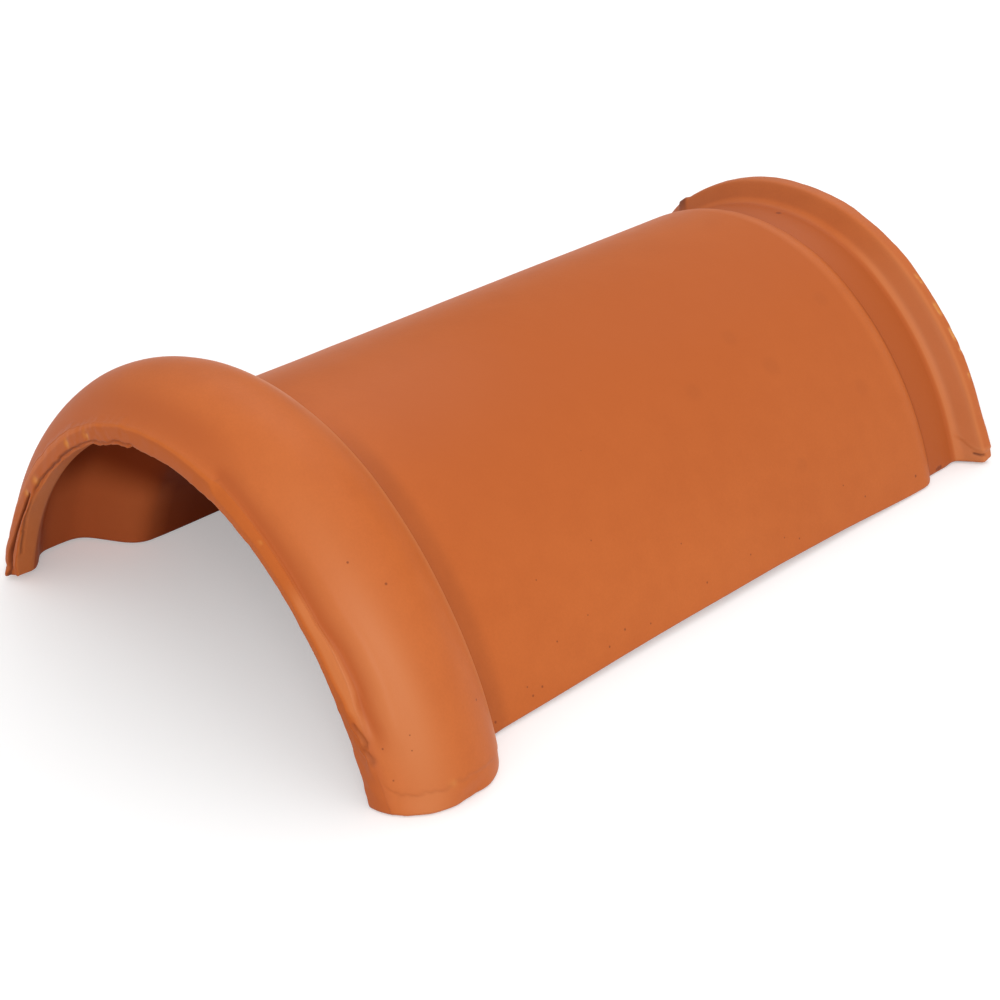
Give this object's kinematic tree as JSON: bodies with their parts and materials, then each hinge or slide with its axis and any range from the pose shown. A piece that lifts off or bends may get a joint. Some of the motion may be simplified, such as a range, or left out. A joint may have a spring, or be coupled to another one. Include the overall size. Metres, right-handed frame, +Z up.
{
  "type": "clay ridge tile",
  "caption": "Arched clay ridge tile with a rolled collar at one end that hooks over the necked flange of the next tile along the ridge of a roof.",
  "frame": {"origin": "middle of the footprint on the bearing plane", "axes": "+X across the tile, +Y along it from the collar to the flange, +Z up from the bearing plane to the crown"},
  "size_m": [0.3006, 0.4186, 0.136],
  "materials": {
    "terracotta": "matt unglazed fired clay"
  },
  "bodies": {
    "root": {"ridge_tile": "terracotta"}
  },
  "joints": []
}
